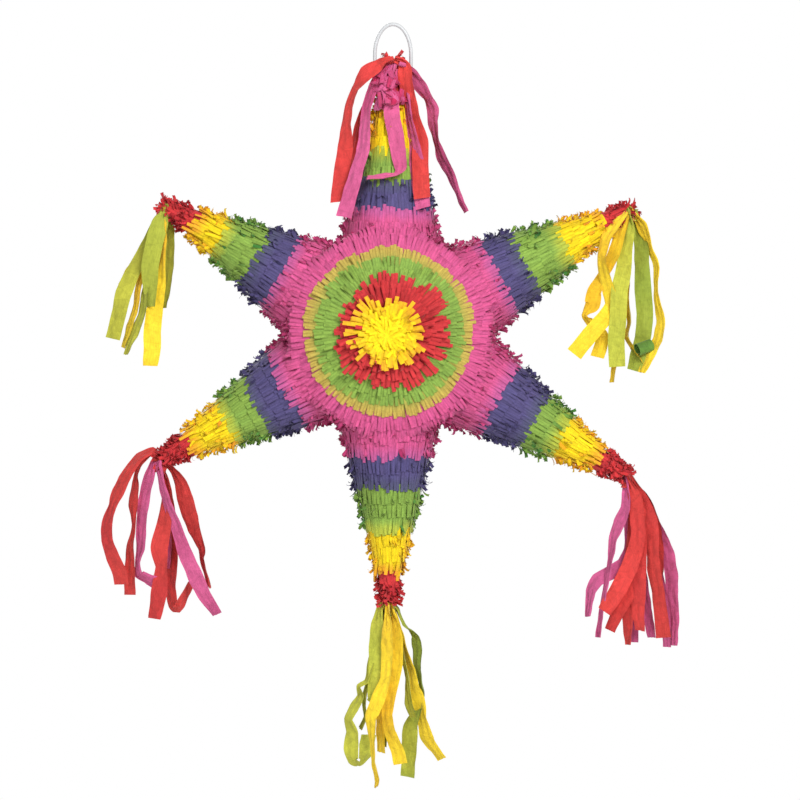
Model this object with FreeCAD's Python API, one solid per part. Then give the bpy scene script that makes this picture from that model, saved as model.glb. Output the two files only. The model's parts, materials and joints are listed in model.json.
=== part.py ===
"""Six-cone star pinata: a hollow card drum with six card cones, fringed tissue, tassels and a hanging loop.

Millimetres. +Z up, the star faces -Y, and +X is to its right. The origin is the inner top of the
hanging loop, where a rope or a hook bears. Each named sub-part is written to parts/NAME.step.
"""

import FreeCAD
import Part
import math
import os

V = FreeCAD.Vector

# --- driving dimensions ---------------------------------------------------------------------------
CARD = 1.5  # thickness of the card in the drum and the cones
GLUE_GAP = 0.2  # between two glued pieces
FRINGE_OFFSET = 0.3  # from the card to the inside of a fringe skin
FRINGE_ROOT = 1.6  # height of a fringe row over the card where it is glued
FRINGE_TOP = 3.3  # height of a fringe row over the card at its free end
ROW_PITCH = 13.5  # distance between glued rows of fringe
BAND_GAP = 0.3  # between two colours of fringe

STAR_X = -4.0  # the drum's centre, from the origin
STAR_Z = -316.0
DRUM_R = 98.0
WALL_HALF = 50.0  # half the height of the drum's side wall
FRONT_RISE = 22.0  # how far the domed front face stands out past the side wall
BACK_RISE = 16.0  # how far the flat back face stands out past the side wall
BACK_FLAT_R = 62.0
ROSETTE_R = {"yellow": 33.0, "red": 57.0, "green": 86.0}  # outer radius of each front ring

CONE_BASE_AT = 94.0  # distance from the drum's centre where a cone's radius is CONE_BASE_R
CONE_BASE_R = 49.3
CONE_TIP_R = 5.5
CONE_START = 73.5  # distance where a cone's shape begins, inside the drum, before it is cut to fit
COLOURS = ["pink", "purple", "green", "yellow", "red"]
# name: direction in degrees from +X, then the distance from the centre where each colour ends;
# the last distance is also where the card cone ends
CONES = {
    "top": (89.2, [125, 155, 186, 246, 272]),
    "upper_right": (27.0, [126, 157, 202, 251, 270]),
    "lower_right": (-31.0, [132, 173, 206, 252, 276]),
    "bottom": (-90.0, [128, 160, 205, 249, 270]),
    "lower_left": (209.0, [121, 155, 189, 235, 260]),
    "upper_left": (150.5, [126, 158, 198, 232, 256]),
}

FLAP_WIDE = 84.8
FLAP_TALL = 76.8
FLAP_GAP = 0.6
FLAP_ROWS = 5  # rows of fringe on the flap
CREASE_MARGIN = 6.0  # bare card each side of the flap's crease

LOOP_WIRE_R = 1.9
LOOP_HALF_WIDE = 18.6  # from the loop's middle to the middle of its wire
LOOP_OVAL_TALL = 31.0  # height of the half oval at the loop's top
LOOP_PIN_Z = -54.0  # the straight run that passes through the top cone
LOOP_BEND_R = 6.0
PIN_CLEARANCE = 0.08
CONE_HOLE_CLEARANCE = 0.32  # round the loop's wire where it passes the cone's card
PLUG_BELOW = 11.0  # how far the plug reaches below and above the loop's straight run
PLUG_ABOVE = 7.5

TASSEL_REACH = 10.0  # from the end of a cone to its tassel's knot
NUB_R = 2.6  # the twist of tissue between a cone's end and its knot
NUB_GAP = 0.6  # left out of the twist's length, at its two ends together
KNOT_R = 4.6
KNOT_LONG = 11.0
STREAMER_WIDE = 17.0
STREAMER_NECK = 4.0
STREAMER_TAPER = 45.0  # length over which a streamer opens out from its gathered neck
STREAMER_THICK = 0.6
LAYER_PITCH = 1.3
LEAN_STEP = 2.6  # degrees by which each streamer leans further back than the one in front of it
# colour, degrees from hanging straight down towards +X, and length, from the front one to the back
STREAMERS = {
    "upper_left": [
        ("green", -6, 104), ("yellow", -3, 165), ("green", -11, 150), ("yellow", -15, 158),
        ("green", -21, 147), ("green", 1, 108), ("yellow", -26, 93),
    ],
    "upper_right": [
        ("green", -4, 165), ("yellow", -1, 175), ("yellow", 9, 165), ("green", 6, 165),
        ("yellow", -5, 150), ("yellow", -6, 160), ("green", 2, 140),
    ],
    "lower_left": [
        ("pink", 20, 168), ("red", 0, 165), ("pink", -3, 135), ("red", -14, 140),
        ("red", -24, 135), ("red", 11, 140), ("red", 22, 140),
    ],
    "lower_right": [
        ("red", -10, 145), ("red", 4, 160), ("red", 12, 165), ("red", -5, 160),
        ("pink", -21, 150), ("pink", 15, 172), ("pink", -14, 170), ("pink", 1, 168),
    ],
    "bottom": [
        ("yellow", -4, 180), ("green", -7, 140), ("yellow", 5, 170), ("green", 6, 178),
        ("yellow", 17, 168), ("green", -17, 165), ("green", 12, 130),
    ],
}
TOP_STREAMERS = [
    ("pink", 4, 140), ("red", -19, 155), ("pink", -12, 160), ("red", 10, 150),
    ("pink", 13, 152), ("red", -9, 125), ("pink", 23, 165),
]
TOP_KNOT_R = 10.0
TOP_KNOT_TALL = 5.0
TOP_KNOT_Y = -9.5
TOP_KNOT_LIFT = 0.6  # from the card cone's end up to the knot
TOP_FIRST_Y = -18.6  # the front streamer's top
TOP_LEAN = 25.0  # the front streamer's lean away from the cone
TOP_LEAN_STEP = 1.5

STAR = V(STAR_X, 0, STAR_Z)
FAR = 400.0  # longer than anything that it cuts
CRUMB = 1.0  # mm3, smaller than any real piece


def export(shape, name):
    """Writes one sub-part, as closed solids only."""
    solids = [s for s in shape.Solids if s.Volume > CRUMB]
    whole = solids[0] if len(solids) == 1 else Part.makeCompound(solids)
    if not solids or not whole.isValid():
        raise RuntimeError(f"{name} is not a valid solid")
    whole.exportStep(f"parts/{name}.step")
    return whole


def revolve(points, axis):
    """A closed outline turned once round an axis through the origin."""
    face = Part.Face(Part.makePolygon([V(*p) for p in points] + [V(*points[0])]))
    return face.revolve(V(0, 0, 0), axis, 360)


# --- cones ----------------------------------------------------------------------------------------
def card_radius(name, distance):
    """Outside radius of a card cone at a distance from the drum's centre."""
    end = CONES[name][1][-1]
    share = (distance - CONE_BASE_AT) / (end - CONE_BASE_AT)
    return CONE_BASE_R + (CONE_TIP_R - CONE_BASE_R) * share


def aim(shape, name):
    """Turns a shape made about +Z to a cone's direction, about the drum's centre."""
    turn = FreeCAD.Rotation(V(0, 1, 0), 90 - CONES[name][0])
    shape.Placement = FreeCAD.Placement(STAR, turn)
    return shape


def solid_cone(name, start, end, outer):
    """A full cone from its axis to outer past the card's outside."""
    r0, r1 = card_radius(name, start) + outer, card_radius(name, end) + outer
    return aim(Part.makeCone(r0, r1, end - start, V(0, 0, start)), name)


def shingled_cone(name, start, end):
    """A fringe skin whose rows rise towards their free ends, which point at the cone's tip."""
    rows = max(1, round((end - start) / ROW_PITCH))
    step = (end - start) / rows
    outline = [(card_radius(name, d) + FRINGE_OFFSET, 0, d) for d in (end, start)]
    for row in range(rows):
        low, high = start + row * step, start + (row + 1) * step
        outline.append((card_radius(name, low) + FRINGE_ROOT, 0, low))
        outline.append((card_radius(name, high) + FRINGE_TOP, 0, high))
    return aim(revolve(outline, V(0, 0, 1)), name)


def wedge(name):
    """The slice of the star that belongs to one cone, up to its neighbours."""
    names = list(CONES)
    here = CONES[name][0]

    def middle(other):
        gap = (CONES[other][0] - here + 180) % 360 - 180
        return math.radians(here + gap / 2)

    at = names.index(name)
    sides = [middle(names[at - 1]), middle(names[(at + 1) % len(names)])]
    away = V(math.cos(math.radians(here)), 0, math.sin(math.radians(here)))
    corners = [STAR + away * (2 * GLUE_GAP)]
    for angle in sides:
        corners.append(corners[0] + V(math.cos(angle), 0, math.sin(angle)) * FAR)
    outline = Part.makePolygon([corners[0], corners[1], corners[2], corners[0]])
    return Part.Face(outline).extrude(V(0, FAR, 0)).translated(V(0, -FAR / 2, 0))


# --- drum -----------------------------------------------------------------------------------------
DOME_R = (DRUM_R**2 + FRONT_RISE**2) / (2 * FRONT_RISE)
DOME_Y = -(WALL_HALF + FRONT_RISE) + DOME_R  # the middle of the dome's sphere


def dome_ring(r0, r1, low, high):
    """A ring of the front dome between two radii, from low to high above the card's outside."""

    def point(radius, height):
        angle = math.asin(radius / DOME_R)
        reach = DOME_R + height
        return V(reach * math.sin(angle), DOME_Y - reach * math.cos(angle), 0)

    def arc(height):
        ends = [point(r, height) for r in (r0, (r0 + r1) / 2, r1)]
        return Part.Arc(*ends).toShape()

    inner, outer = [Part.makeLine(point(r, low), point(r, high)) for r in (r0, r1)]
    outline = Part.Wire(Part.__sortEdges__([arc(low), outer, arc(high), inner]))
    return Part.Face(outline).revolve(V(0, 0, 0), V(0, 1, 0), 360).translated(STAR)


def back_ring(r0, r1, low, high):
    """A ring of the back face, which is flat in the middle and slopes down to the side wall."""
    slope = BACK_RISE / (DRUM_R - BACK_FLAT_R)
    flat = WALL_HALF + BACK_RISE
    radii = [r0] + ([BACK_FLAT_R] if r0 < BACK_FLAT_R < r1 else []) + [r1]

    def edge(height):
        return [(r, flat - max(0.0, r - BACK_FLAT_R) * slope + height, 0) for r in radii]

    return revolve(edge(low) + edge(high)[::-1], V(0, 1, 0)).translated(STAR)


def tube(r0, r1, y0, y1):
    """A round wall about the drum's axis."""
    return revolve([(r0, y0, 0), (r1, y0, 0), (r1, y1, 0), (r0, y1, 0)], V(0, 1, 0)).translated(STAR)


def flap_prism(margin, top_margin=None):
    """A block through the back face, margin wider than the flap all round."""
    top = margin if top_margin is None else top_margin
    wide, tall = FLAP_WIDE + 2 * margin, FLAP_TALL + margin + top
    corner = STAR + V(-wide / 2, WALL_HALF, -FLAP_TALL / 2 - margin)
    return Part.makeBox(wide, FAR, tall, corner)


def drum_envelope(grow):
    """The drum's outside as one solid, grown by a margin."""
    middle = Part.makeCylinder(DRUM_R + grow, 2 * WALL_HALF, STAR - V(0, WALL_HALF, 0), V(0, 1, 0))
    front = dome_ring(0, DRUM_R + grow, -FRONT_RISE - CARD, grow)
    back = back_ring(0, DRUM_R + grow, -BACK_RISE - CARD, grow)
    return middle.fuse([front, back])


def make_drum():
    export(dome_ring(0, DRUM_R, -CARD, 0), "drum_front_face")
    export(back_ring(0, DRUM_R, -CARD, 0).cut(flap_prism(FLAP_GAP)), "drum_back_face")
    wall_end = WALL_HALF - CARD - GLUE_GAP
    export(tube(DRUM_R - CARD, DRUM_R, -wall_end, wall_end), "drum_side_wall")


def make_rosette():
    inner = 0.0
    for colour, outer in ROSETTE_R.items():
        export(dome_ring(inner, outer - BAND_GAP, FRINGE_OFFSET, FRINGE_TOP), f"rosette_{colour}_ring")
        inner = outer
    back = back_ring(0, ROSETTE_R["green"] - BAND_GAP, FRINGE_OFFSET, FRINGE_TOP)
    export(back.cut(flap_prism(FLAP_GAP, CREASE_MARGIN)), "back_fringe")


def make_drum_fringe():
    """The pink skin on the side wall and the shoulders, where it shows between the cones."""
    r0, r1 = DRUM_R + FRINGE_OFFSET, DRUM_R + FRINGE_TOP
    inner = ROSETTE_R["green"]
    half = WALL_HALF - BAND_GAP * 3
    skin = tube(r0, r1, -half, half)
    front = dome_ring(inner, DRUM_R, FRINGE_OFFSET, FRINGE_TOP)
    back = back_ring(inner, DRUM_R, FRINGE_OFFSET, FRINGE_TOP)
    cones = [solid_cone(n, CONE_START / 2, 2 * CONE_START, FRINGE_TOP + BAND_GAP) for n in CONES]
    export(Part.makeCompound([s for s in skin.cut(cones).Solids] + [front, back]), "drum_pink_fringe")


def make_flap():
    y = WALL_HALF + BACK_RISE
    corner = STAR + V(-FLAP_WIDE / 2, y - CARD, -FLAP_TALL / 2)
    export(Part.makeBox(FLAP_WIDE, CARD, FLAP_TALL, corner), "fill_flap")
    bottom = -FLAP_TALL / 2
    step = (FLAP_TALL - CREASE_MARGIN) / FLAP_ROWS
    outline = [(0, y + FRINGE_OFFSET, bottom + FLAP_ROWS * step), (0, y + FRINGE_OFFSET, bottom)]
    for row in range(FLAP_ROWS):
        outline.append((0, y + FRINGE_TOP, bottom + row * step))
        outline.append((0, y + FRINGE_ROOT, bottom + (row + 1) * step))
    face = Part.Face(Part.makePolygon([V(*p) for p in outline] + [V(*outline[0])]))
    fringe = face.extrude(V(FLAP_WIDE, 0, 0)).translated(STAR - V(FLAP_WIDE / 2, 0, 0))
    export(fringe, "flap_fringe")


# --- cones with their fringe ------------------------------------------------------------------------
def loop_hole(radius):
    """The way through the top cone for the loop's straight run."""
    return Part.makeCylinder(radius, FAR, V(-FAR / 2, 0, LOOP_PIN_Z), V(1, 0, 0))


def tip_nub(name):
    """The twist of tissue that comes out of a cone's end and carries its tassel."""
    end = CONES[name][1][-1]
    long = TASSEL_REACH - KNOT_R - NUB_GAP
    return aim(Part.makeCylinder(NUB_R, long, V(0, 0, end + GLUE_GAP)), name)


def make_cones():
    drum = drum_envelope(GLUE_GAP)
    drum_with_fringe = drum_envelope(FRINGE_TOP + BAND_GAP)
    hole = loop_hole(LOOP_WIRE_R + CONE_HOLE_CLEARANCE)
    wide_hole = loop_hole(LOOP_WIRE_R + FRINGE_ROOT)
    for name, (_, ends) in CONES.items():
        tip = ends[-1]
        slice_of_star = wedge(name)
        outside = solid_cone(name, CONE_START, tip, 0)
        inside = solid_cone(name, CONE_START - CARD, tip - CARD, -CARD)
        card = outside.cut(inside).common(slice_of_star).cut(drum)
        if name == "top":
            card = card.cut(hole)
        export(card, f"{name}_cone")
        begin = CONE_START
        for colour, end in zip(COLOURS, ends):
            band = shingled_cone(name, begin, end - BAND_GAP)
            if colour == "pink":
                band = band.common(slice_of_star).cut(drum_with_fringe)
            if name == "top":
                band = band.cut(wide_hole)
            elif colour == "red":
                band = Part.makeCompound([band, tip_nub(name)])
            export(band, f"{name}_{colour}_fringe")
            begin = end


# --- hanging loop -----------------------------------------------------------------------------------
def loop_half(side):
    """The loop's centreline on one side, from the middle of its straight run up to its leg's top."""
    run = side * (LOOP_HALF_WIDE - LOOP_BEND_R)
    leg = side * LOOP_HALF_WIDE
    quarter = LOOP_BEND_R * (1 - math.sqrt(0.5))
    bend_top = V(leg, 0, LOOP_PIN_Z + LOOP_BEND_R)
    bend_middle = V(leg - side * quarter, 0, LOOP_PIN_Z + quarter)
    bend_low = V(run, 0, LOOP_PIN_Z)
    return [
        Part.makeLine(V(0, 0, LOOP_PIN_Z), bend_low),
        Part.Arc(bend_low, bend_middle, bend_top).toShape(),
        Part.makeLine(bend_top, V(leg, 0, LOOP_WIRE_R - LOOP_OVAL_TALL)),
    ]


def make_loop():
    """An oval of plastic-covered wire, closed by a straight run through the top cone."""
    oval_z = LOOP_WIRE_R - LOOP_OVAL_TALL
    oval = Part.Ellipse(V(0, 0, LOOP_WIRE_R), V(LOOP_HALF_WIDE, 0, oval_z), V(0, 0, oval_z))
    top = Part.ArcOfEllipse(oval, -math.pi / 2, math.pi / 2).toShape()
    path = Part.Wire(loop_half(-1) + [top] + loop_half(1)[::-1])
    section = Part.Wire(Part.makeCircle(LOOP_WIRE_R, V(0, 0, LOOP_PIN_Z), V(1, 0, 0)))
    export(path.makePipeShell([section], True, True), "hanging_loop")


def make_plug():
    """The solid plug in the top cone's tip, which the loop's straight run turns in."""
    at = LOOP_PIN_Z - STAR_Z
    plug = solid_cone("top", at - PLUG_BELOW, at + PLUG_ABOVE, -CARD - GLUE_GAP)
    export(plug.cut(loop_hole(LOOP_WIRE_R + PIN_CLEARANCE)), "loop_anchor_plug")


# --- tassels ----------------------------------------------------------------------------------------
def streamer(top, sway, lean, length):
    """A flat strip hanging from a gathered neck, swayed towards +X and leaning towards +Y."""
    neck, half = STREAMER_NECK / 2, STREAMER_WIDE / 2
    outline = [
        (-neck, 0), (neck, 0), (half, -STREAMER_TAPER),
        (half, -length), (-half, -length), (-half, -STREAMER_TAPER),
    ]
    points = [V(x, -STREAMER_THICK / 2, z) for x, z in outline]
    strip = Part.Face(Part.makePolygon(points + [points[0]])).extrude(V(0, STREAMER_THICK, 0))
    strip.rotate(V(0, 0, 0), V(0, 1, 0), -sway)
    strip.rotate(V(0, 0, 0), V(1, 0, 0), lean)
    drop = neck * math.sin(math.radians(abs(sway))) + STREAMER_THICK * math.sin(math.radians(abs(lean)))
    return strip.translated(top - V(0, 0, drop))


def export_tassel(name, knot, strips):
    """Writes a tassel's two colours, each a node of its own. The knot goes with the first colour."""
    first = strips[0][0]
    colours = [first] + sorted({colour for colour, _ in strips} - {first})
    for colour in colours:
        solids = [s for c, s in strips if c == colour] + ([knot] if colour == first else [])
        export(Part.makeCompound(solids), f"{name}_tassel_{colour}")


def make_tassel(name):
    """A bundle that hangs from its knot just past the end of a cone."""
    angle = math.radians(CONES[name][0])
    reach = CONES[name][1][-1] + TASSEL_REACH
    middle = STAR + V(math.cos(angle), 0, math.sin(angle)) * reach
    knot = Part.makeCylinder(KNOT_R, KNOT_LONG, middle - V(0, KNOT_LONG / 2, 0), V(0, 1, 0))
    strips = []
    count = len(STREAMERS[name])
    for i, (colour, sway, length) in enumerate(STREAMERS[name]):
        layer = i - (count - 1) / 2
        top = middle + V(0, layer * LAYER_PITCH, -KNOT_R - GLUE_GAP)
        strips.append((colour, streamer(top, sway, layer * LEAN_STEP, length)))
    export_tassel(name, knot, strips)


def make_top_tassel():
    """The bundle that is glued over the top cone's tip and lies down its front."""
    angle = math.radians(CONES["top"][0])
    end = STAR + V(math.cos(angle), 0, math.sin(angle)) * CONES["top"][1][-1]
    low = end + V(0, TOP_KNOT_Y, TOP_KNOT_LIFT)
    knot = Part.makeCylinder(TOP_KNOT_R, TOP_KNOT_TALL, low, V(0, 0, 1))
    strips = []
    for i, (colour, sway, length) in enumerate(TOP_STREAMERS):
        lean = -(TOP_LEAN - i * TOP_LEAN_STEP)
        top = V(end.x, TOP_FIRST_Y + i * LAYER_PITCH, low.z - GLUE_GAP)
        strips.append((colour, streamer(top, sway, lean, length)))
    export_tassel("top", knot, strips)


def main():
    os.makedirs("parts", exist_ok=True)
    for old in os.listdir("parts"):
        os.remove(os.path.join("parts", old))
    make_drum()
    make_rosette()
    make_drum_fringe()
    make_flap()
    make_cones()
    make_loop()
    make_plug()
    make_top_tassel()
    for name in STREAMERS:
        make_tassel(name)
    print(len(os.listdir("parts")), "sub-parts")


main()
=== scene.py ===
import json
import math
import random

import bpy
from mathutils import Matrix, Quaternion, Vector, noise


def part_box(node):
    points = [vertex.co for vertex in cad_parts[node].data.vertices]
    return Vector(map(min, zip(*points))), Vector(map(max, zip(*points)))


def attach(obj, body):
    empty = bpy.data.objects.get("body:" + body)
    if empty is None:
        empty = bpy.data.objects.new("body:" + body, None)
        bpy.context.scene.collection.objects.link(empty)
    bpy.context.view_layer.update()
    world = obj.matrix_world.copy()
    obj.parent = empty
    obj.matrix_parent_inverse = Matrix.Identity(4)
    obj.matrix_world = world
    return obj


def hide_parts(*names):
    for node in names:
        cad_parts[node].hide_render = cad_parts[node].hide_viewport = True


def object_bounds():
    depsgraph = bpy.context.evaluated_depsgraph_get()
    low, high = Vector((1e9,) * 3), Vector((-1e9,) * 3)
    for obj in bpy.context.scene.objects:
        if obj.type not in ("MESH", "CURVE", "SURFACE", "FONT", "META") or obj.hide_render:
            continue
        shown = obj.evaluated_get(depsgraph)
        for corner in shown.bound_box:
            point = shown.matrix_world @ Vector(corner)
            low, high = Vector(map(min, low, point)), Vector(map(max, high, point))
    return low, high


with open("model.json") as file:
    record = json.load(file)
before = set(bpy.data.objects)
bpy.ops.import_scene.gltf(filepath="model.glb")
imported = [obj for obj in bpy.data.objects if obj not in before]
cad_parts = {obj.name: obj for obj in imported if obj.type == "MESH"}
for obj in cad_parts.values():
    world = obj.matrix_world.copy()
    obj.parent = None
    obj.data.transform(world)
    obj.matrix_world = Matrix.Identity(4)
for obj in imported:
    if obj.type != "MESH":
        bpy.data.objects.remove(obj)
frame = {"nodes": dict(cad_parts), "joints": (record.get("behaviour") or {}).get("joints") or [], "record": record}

# A star pinata covered in cut tissue fringe. Lengths are in metres, worked out from the frame and
# from the sizes below, which are in millimetres times MM.
MM = 0.001
CAD_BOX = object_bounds()
NODES = frame["nodes"]

# --- sizes
WALL_HALF = 50 * MM  # half the depth of the drum's side wall
BACK_FLAT_R = 62 * MM  # radius of the back face's flat middle
SKIN_GAP = 0.3 * MM  # between the card and the CAD fringe skins
ROW_PITCH = 13.5 * MM  # from one row of fringe to the next
PINK_ROOT = 92 * MM  # the cones' pink rows start here, under the drum's shoulder fringe
OVERLAP = 5.5 * MM  # how far a fringe row reaches over the next one's root
FINGER = 3.3 * MM  # width of one cut finger of fringe
FINGER_EDGE_SHADE = 0.8  # how much darker a finger's two long edges are painted, as painted shade between fingers
CROWD = 0.86  # share of a finger's width between neighbouring fingers
CUPPED = 0.12  # how far a finger's middle stands up, as a share of half its width
SKIN_LIFT = 0.45 * MM  # the glued part of the fringe, off the card
STREAMER_WIDE = 18 * MM

WALL_LOW, WALL_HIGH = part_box("drum_side_wall")
STAR = (WALL_LOW + WALL_HIGH) / 2
DRUM_R = (WALL_HIGH.x - WALL_LOW.x) / 2
FRONT_TOP = -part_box("drum_front_face")[0].y
BACK_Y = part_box("drum_back_face")[1].y
DOME_R = (DRUM_R**2 + (FRONT_TOP - WALL_HALF) ** 2) / (2 * (FRONT_TOP - WALL_HALF))
DOME_Y = DOME_R - FRONT_TOP
BACK_SLOPE = (BACK_Y - WALL_HALF) / (DRUM_R - BACK_FLAT_R)
FRONT = Vector((0, -1, 0))

CONE_NAMES = ["top", "upper_right", "lower_right", "bottom", "lower_left", "upper_left"]
BANDS = ["pink", "purple", "green", "yellow", "red"]


# --- colours
def linear(red, green, blue):
    """A screen colour, 0 to 255, as the linear colour that a shader takes."""
    shares = [c / 255 for c in (red, green, blue)]
    return Vector([s / 12.92 if s <= 0.04045 else ((s + 0.055) / 1.055) ** 2.4 for s in shares])


TISSUE = {
    "pink": linear(218, 88, 144),
    "purple": linear(86, 78, 127),
    "green": linear(139, 174, 73),
    "yellow": linear(255, 222, 14),
    "red": linear(218, 56, 60),
}
# what a row's free ends look like where they lie over the next colour
OVER = {
    ("pink", "purple"): linear(198, 92, 152),
    ("purple", "green"): linear(84, 84, 116),
    ("green", "yellow"): linear(184, 194, 66),
    ("yellow", "red"): linear(252, 178, 38),
    ("green", "pink"): linear(198, 172, 80),
}
# what the paper turns to in its own shade
DEEP = {
    "pink": linear(176, 44, 98),
    "purple": linear(46, 42, 82),
    "green": linear(60, 128, 52),
    "yellow": linear(248, 158, 26),
    "red": linear(184, 40, 50),
}
STREAMER = {
    "pink": linear(218, 97, 148),
    "red": linear(214, 64, 60),
    "green": linear(194, 194, 66),
    "yellow": linear(255, 220, 50),
}


def mixed(a, b, share):
    return a * (1 - share) + b * share


# --- materials
def new_material(name, roughness, specular=0.3):
    material = bpy.data.materials.new(name)
    material.use_nodes = True
    tree = material.node_tree
    shader = tree.nodes["Principled BSDF"]
    shader.inputs["Roughness"].default_value = roughness
    shader.inputs["Specular IOR Level"].default_value = specular
    return material, tree, shader


def add_node(tree, kind, inputs, **settings):
    """A new shader node. Each input is a value, or another node's output that is linked to it."""
    node = tree.nodes.new("ShaderNode" + kind)
    for name, value in settings.items():
        setattr(node, name, value)
    for name, value in inputs.items():
        if isinstance(value, bpy.types.NodeSocket):
            tree.links.new(value, node.inputs[name])
        else:
            node.inputs[name].default_value = value
    return node


def scaled(tree, vector, scale):
    """vector times scale, component by component."""
    return add_node(tree, "VectorMath", {0: vector, 1: scale}, operation="MULTIPLY").outputs[0]


def shaded(tree, colour, factor):
    """colour times a number that varies over the surface."""
    return add_node(tree, "VectorMath", {0: colour, "Scale": factor}, operation="SCALE").outputs[0]


def noise_at(tree, vector, scale, detail=3.0, roughness=0.5):
    inputs = {"Vector": vector, "Scale": scale, "Detail": detail, "Roughness": roughness}
    return add_node(tree, "TexNoise", inputs).outputs["Fac"]


def voronoi_at(tree, vector, feature):
    return add_node(tree, "TexVoronoi", {"Vector": vector, "Scale": 1.0}, feature=feature)


def mapped(tree, value, low, high, start=0.3, end=0.7):
    """value, from start to end, as a number from low to high."""
    inputs = {"Value": value, "From Min": start, "From Max": end, "To Min": low, "To Max": high}
    return add_node(tree, "MapRange", inputs).outputs["Result"]


def plain(tree, colour):
    """One colour all over."""
    node = add_node(tree, "RGB", {})
    node.outputs[0].default_value = (*colour, 1)
    return node.outputs[0]


def bumped(tree, shader, height, distance, strength):
    bump = add_node(tree, "Bump", {"Height": height, "Distance": distance, "Strength": strength})
    tree.links.new(bump.outputs["Normal"], shader.inputs["Normal"])


def tissue_material(name):
    """Crepe tissue: its colour is painted on the mesh, with fine creases along each strip, wrinkles
    across it, and flat facet cells that meet at fold lines. The creases and wrinkles are bumps, and
    they and the cells also make the colour lighter and darker, as painted light and shade; the fold
    lines are painted darker, as painted shade."""
    material, tree, shader = new_material(name, 0.72, 0.25)
    paint = add_node(tree, "Attribute", {}, attribute_name="tissue").outputs["Color"]
    grain = add_node(tree, "Attribute", {}, attribute_name="grain").outputs["Vector"]
    creases = noise_at(tree, scaled(tree, grain, (1.5, 0.12, 1.0)), 1.0, 3.0)
    wrinkles = noise_at(tree, scaled(tree, grain, (0.16, 0.22, 1.0)), 1.0, 2.0)
    bent = scaled(tree, grain, (0.055, 0.075, 1.0))
    facet_light = voronoi_at(tree, bent, "F1").outputs["Color"]
    fold_shade = voronoi_at(tree, bent, "DISTANCE_TO_EDGE").outputs["Distance"]
    # painted light and shade: the colour goes lighter and darker with the creases, the wrinkles and each facet
    # cell, and darker along the fold lines
    colour = shaded(tree, paint, mapped(tree, creases, 0.86, 1.1))
    colour = shaded(tree, colour, mapped(tree, wrinkles, 0.92, 1.06))
    colour = shaded(tree, colour, mapped(tree, facet_light, 0.9, 1.07, 0.0, 1.0))
    colour = shaded(tree, colour, mapped(tree, fold_shade, 0.88, 1.0, 0.0, 0.035))
    tree.links.new(colour, shader.inputs["Base Color"])
    height = add_node(tree, "Math", {0: wrinkles, 1: 2.2, 2: creases}, operation="MULTIPLY_ADD")
    bumped(tree, shader, height.outputs[0], 0.6 * MM, 0.6)
    shader.inputs["Sheen Weight"].default_value = 0.12
    return material


def card_material(name, tone):
    """Grey-brown recycled card, with fibres and faint flutes."""
    material, tree, shader = new_material(name, 0.85, 0.2)
    place = add_node(tree, "TexCoord", {}).outputs["Object"]
    fibres = noise_at(tree, scaled(tree, place, (1.0, 1.0, 6.0)), 260.0, 6.0, 0.65)
    blotches = noise_at(tree, place, 34.0, 2.0)
    ramp = add_node(tree, "ValToRGB", {"Fac": fibres})
    for stop, level, position in zip(ramp.color_ramp.elements, (0.7, 1.2), (0.3, 0.7)):
        stop.color = (*(tone * level), 1)
        stop.position = position
    colour = shaded(tree, ramp.outputs["Color"], mapped(tree, blotches, 0.88, 1.08))
    tree.links.new(colour, shader.inputs["Base Color"])
    bumped(tree, shader, fibres, 0.3 * MM, 0.4)
    return material


def loop_material(name):
    """Milky white plastic over wire, faintly streaked."""
    material, tree, shader = new_material(name, 0.32, 0.5)
    place = add_node(tree, "TexCoord", {}).outputs["Object"]
    streaks = noise_at(tree, scaled(tree, place, (1.0, 1.0, 0.25)), 420.0, 2.0)
    colour = shaded(tree, plain(tree, linear(200, 202, 204)), mapped(tree, streaks, 0.93, 1.03))
    tree.links.new(colour, shader.inputs["Base Color"])
    tree.links.new(mapped(tree, streaks, 0.26, 0.4), shader.inputs["Roughness"])
    bumped(tree, shader, streaks, 0.1 * MM, 0.3)
    return material


def stage_material(name, grey):
    material, tree, shader = new_material(name, 0.9, 0.1)
    place = add_node(tree, "TexCoord", {}).outputs["Object"]
    drift = noise_at(tree, place, 2.0, 1.0)
    colour = shaded(tree, plain(tree, [grey] * 3), mapped(tree, drift, 0.99, 1.0))
    tree.links.new(colour, shader.inputs["Base Color"])
    return material


MATERIAL = {f"tissue_{c}": tissue_material(f"tissue_{c}") for c in TISSUE}
MATERIAL["card"] = card_material("card", linear(176, 140, 98))
MATERIAL["plug_card"] = card_material("plug_card", linear(160, 126, 88))
MATERIAL["loop_plastic"] = loop_material("loop_plastic")


# --- paper
def smooth(share):
    """0 up to 0 and 1 from 1 on, with an easy curve between."""
    share = min(1.0, max(0.0, share))
    return share * share * (3 - 2 * share)


def gauss_angle(rng, mean, spread):
    """A random angle in radians, from a mean and a spread in degrees."""
    return math.radians(rng.gauss(mean, spread))


def add_object(name, data):
    """A new object in the scene, with this mesh, light or camera."""
    made = bpy.data.objects.new(name, data)
    bpy.context.scene.collection.objects.link(made)
    return made


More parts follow.
